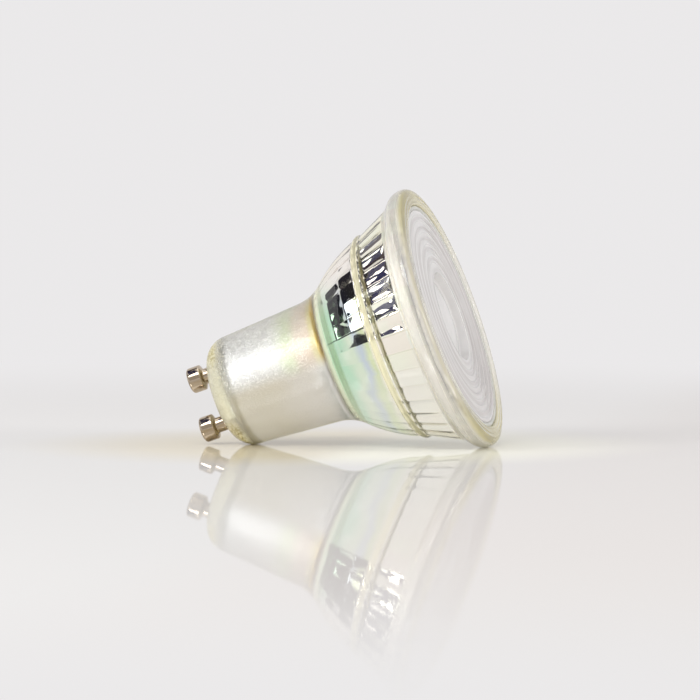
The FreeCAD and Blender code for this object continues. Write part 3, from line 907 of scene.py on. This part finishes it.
# %% [markdown]
# The table
#
# The bulb lies on a pale lacquered table that mirrors it softly. Near the bulb the table is a real
# surface that takes its shadow, with a mirror mixed in that fades towards the front. Further out
# it glows in the colour of the room for whatever sees it, so that table and wall join without a
# line. A plain white plane would turn grey far from the lights. Light that comes through the
# glass shows the table a little paler, as the clear edges of a real bulb do. Its colour also
# carries painted shadow and light: a warm shadow under the neck, a pale pool of light under the
# bowl, a soft shadow to the right behind the bulb, and a paler table behind the bulb.

# %% Polish of the table
room_colour, room_through_glass = (0.828, 0.815, 0.821), (0.913, 0.902, 0.907)
table_corners = [(-4, -4, 0), (4, -4, 0), (4, 6, 0), (-4, 6, 0)]
table_mesh = bpy.data.meshes.new("table")
table_mesh.from_pydata(table_corners, [], [(0, 1, 2, 3)])
table = bpy.data.objects.new("table", table_mesh)
bpy.context.collection.objects.link(table)

lacquer = Finish("table_lacquer", Roughness=0.5, Specular_IOR_Level=0.0)
table_place = lacquer.place()
table_right, table_depth, _ = lacquer.parts(table_place)
far = lacquer.vector_maths("LENGTH", table_place, output="Value")
gloss = lacquer.node("ShaderNodeBsdfGlossy", None, {"Color": (1, 1, 1), "Roughness": 0.02})
front_mirror, more_mirror, mirror_fade = 0.06, 0.36, (-0.60, -0.02)
mirror_share = front_mirror + more_mirror * lacquer.step(table_depth, *mirror_fade)
polished = lacquer.mix_shader(mirror_share, lacquer.own, gloss)
print("table:", table_corners[0], "to", table_corners[2])

# %% Glow of the far table
painted_shadow_glow, painted_shadow_across, painted_shadow_depth = (0.795, 0.762, 0.757), (0.02, 0.06), (0.06, 0.26, 0.25)
front_near, front_far, front_across = (-0.02, -0.10), (-0.50, -0.27), (0.0, 0.12, 0.16)
glow_fade = (0.09, 0.30)

camera_ray = lacquer.node("ShaderNodeLightPath", None, None, "Is Camera Ray")
sight = camera_ray + camera_ray.beside("Is Glossy Ray")
through = camera_ray.beside("Is Transmission Ray")
# Painted shadow: a soft, darker, warm patch to the right of the bulb and behind it.
painted_shadow_right = lacquer.step(table_right, *painted_shadow_across) * lacquer.bell(table_depth, *painted_shadow_depth)
glow_colour = lacquer.mix(painted_shadow_right, room_colour, painted_shadow_glow)
glow = lacquer.node("ShaderNodeEmission", None,
                    {"Color": lacquer.mix(through, glow_colour, room_through_glass),
                     "Strength": 1.0})
in_front = lacquer.step(table_depth, *front_near) * lacquer.step(table_depth, *front_far)
not_front = 1 - in_front * lacquer.bell(table_right, *front_across)
shown = lacquer.maths("MAXIMUM", sight * lacquer.step(far, *glow_fade) * not_front, through)
lacquer.close(Surface=lacquer.mix_shader(shown, polished, glow))
print("the glow starts", glow_fade[0], "m from the bulb")

# %% Colour of the table
painted_neck_shadow, painted_light_pool = (0.73, 0.65, 0.49), (0.96, 0.94, 0.80)
front_table, table_painted_paler_behind, painted_shadow_table = (0.745, 0.73, 0.72), (0.805, 0.785, 0.775), (0.74, 0.70, 0.68)
under_fade, back_fade, open_fade = (-0.004, 0.012), (-0.04, 0.03), (0.028, 0.065)

# Painted shadow and light under the bulb: a warm shadow under the neck, a pale pool of light under
# the bowl.
under = lacquer.mix(lacquer.step(table_right, *under_fade), painted_neck_shadow, painted_light_pool)
# Painted light: the table is painted paler behind the bulb than in front, to even out its
# brightness.
open_table = lacquer.mix(lacquer.step(table_depth, *back_fade), front_table, table_painted_paler_behind)
# The same painted shadow, right of and behind the bulb, in the table's own colour.
open_table = lacquer.mix(painted_shadow_right, open_table, painted_shadow_table)
lacquer.feed(Base_Color=lacquer.mix(lacquer.step(far, *open_fade), under, open_table))
table_mesh.materials.append(lacquer.owner)
print("nodes of the table:", len(lacquer.tree.nodes))

# %% [markdown]
# Soft lights
#
# A studio lights glass with a few large soft boxes: one above, one at the front left that draws
# the long highlight on the neck, one at the right for the lens. Two more lift the shade without
# showing as white boxes in the mirror. A sun lamp would be simpler, but polished things look the
# way they do because they mirror the shape of each light.


# %% Studio lights
def soft_light(name, place, size, watts, colour=(1, 1, 1), seen=True):
    """An even rectangle of light, turned to the bulb. One that isn't seen lights the bulb without
    showing in polished metal."""
    data = bpy.data.lights.new(name, "AREA")
    data.shape = "RECTANGLE"
    data.size, data.size_y = size
    data.energy = watts
    data.color = colour
    light = bpy.data.objects.new(name, data)
    bpy.context.collection.objects.link(light)
    light.location = place
    light.rotation_euler = (light_target - Vector(place)).to_track_quat("-Z", "Y").to_euler()
    light.visible_glossy = seen


light_target = Vector((0, 0, 0.02))
cool_white = (0.97, 0.99, 1.0)
soft_light("top_light", (-0.05, -0.10, 0.95), (0.9, 0.7), 1.6)
soft_light("front_light", (-0.42, -0.64, 0.66), (0.55, 0.32), 4.0, cool_white)
soft_light("right_light", (1.2, -0.15, 0.42), (0.4, 0.4), 5.6)
soft_light("left_light", (-0.748, -0.892, 0.314), (0.25, 0.25), 2.8, seen=False)
soft_light("low_light", (0.5, -1.6, 0.24), (1.6, 0.36), 7.0, seen=False)
print("studio lights:", len(bpy.data.lights))

# %% [markdown]
# What the facets mirror
#
# Each facet of the mirror is aimed at one small part of the room. The white and dark spots in a
# faceted bowl are images of small lights and dark openings, so these are placed by the bearing
# and the lift at which the bulb sees them. Painting the spots on the film would be quicker, but
# they would stay put when the bulb is seen from another side.


# %% Small lights for the facets
def seen_from_bulb(bearing, lift, distance):
    """Places at a distance from the bulb: the bearing goes from the left side towards the back,
    the lift goes up from level, both in degrees."""
    bearing, lift = np.radians(bearing), np.radians(lift)
    way = np.stack([-np.cos(bearing) * np.cos(lift), np.sin(bearing) * np.cos(lift),
                    np.sin(lift)], axis=-1)
    return bulb_middle + distance * way


bulb_middle = np.array([0, 0, 0.024])
small_distance, watts_per_area = 0.5, 8.0
small_lights = {"flute_light_middle": (1, 42, 17, 8), "flute_light_front": (-22, 42, 9, 8),
                "flute_light_low": (-41, 20, 6, 9), "facet_light_upper": (-14, 17, 9, 7),
                "facet_light_lower": (-24, 6, 9, 11)}
for name, (bearing, lift, wide, high) in small_lights.items():
    size = (small_distance * np.radians(wide) * np.cos(np.radians(lift)),
            small_distance * np.radians(high))
    soft_light(name, seen_from_bulb(bearing, lift, small_distance), size,
               watts_per_area * size[0] * size[1])
print("small lights:", len(small_lights))


# %% Dark cards
def card(name, corners, glow, mirrored=True):
    """A flat card of even brightness that only reflections and refractions find. One that isn't
    mirrored shows through glass alone."""
    mesh = bpy.data.meshes.new(name)
    mesh.from_pydata(corners, [], [tuple(range(len(corners)))])
    board = bpy.data.objects.new(name, mesh)
    bpy.context.collection.objects.link(board)
    velvet = Finish(name + "_velvet", Base_Color=(0, 0, 0), Roughness=1.0, Specular_IOR_Level=0.0,
                    Emission_Color=glow, Emission_Strength=1.0)
    mesh.materials.append(velvet.owner)
    board.visible_camera = False
    board.visible_diffuse = False
    board.visible_shadow = False
    board.visible_glossy = mirrored


dark, navy, maroon = (0.022, 0.020, 0.026), (0.045, 0.045, 0.115), (0.045, 0.030, 0.045)
facing_cards = {
    "left_card": (0.62, dark, [(-34, -1), (-14, -1), (0, 14), (10, 20), (25, 21.5), (25, 30),
                               (-40, 30), (-40, 6)]),
    "flute_card": (0.60, navy, [(-52, 7), (-40, 7), (-30, 24), (-10, 34), (14, 34), (14, 52),
                                (-46, 52), (-46, 24), (-52, 20)]),
    "ceiling_card": (0.64, maroon, [(13, 30), (30, 30), (34, 38), (34, 50), (28, 56), (13, 56)]),
}
for name, (distance, colour, outline) in facing_cards.items():
    bearings, lifts = np.array(outline).T
    card(name, seen_from_bulb(bearings, lifts, distance).tolist(), colour)
print("cards round the bulb:", len(facing_cards))

# %% [markdown]
# Cards on the table and behind the camera
#
# A dark strip on the table, left of the bulb, draws a thin dark line in the clear edges of the
# glass. A large grey card behind the camera keeps the near side of the pins from going white.

# %% Far cards
front_grey = (0.50, 0.46, 0.43)
card("table_card", [(-0.5, -0.30, 0.002), (-0.105, -0.10, 0.002), (-0.105, -0.022, 0.002),
                    (-0.5, -0.106, 0.002)], dark, mirrored=False)
card("front_card", [(-1.0, -1.7, -0.1), (1.4, -1.7, -0.1), (1.4, -1.7, 1.1), (-1.0, -1.7, 1.1)],
     front_grey)
print("glow of the front card:", front_grey)

# %% [markdown]
# The room
#
# The wall behind the table is the world itself. An even grey fills in light from all sides, and
# the camera, the mirrors and the glass see the pale room colour instead, so the background is pale
# without more light on the bulb. A backdrop mesh would do too, but some views would show its edge.

# %% Room
fill_light = (0.40, 0.395, 0.39)
world = bpy.data.worlds.new("room")
bpy.context.scene.world = world
room = Finish(world)
camera_ray = room.node("ShaderNodeLightPath", None, None, "Is Camera Ray")
through_glass = camera_ray.beside("Is Transmission Ray")
seen = room.maths("MAXIMUM", camera_ray, camera_ray.beside("Is Glossy Ray"))
seen = room.maths("MAXIMUM", seen, through_glass)
room_seen = room.mix(through_glass, room_colour, room_through_glass)
room.feed(Color=room.mix(seen, fill_light, room_seen))
bpy.context.scene.view_settings.view_transform = "Standard"
print("nodes of the room:", len(room.tree.nodes))

# %% [markdown]
# Closing
#
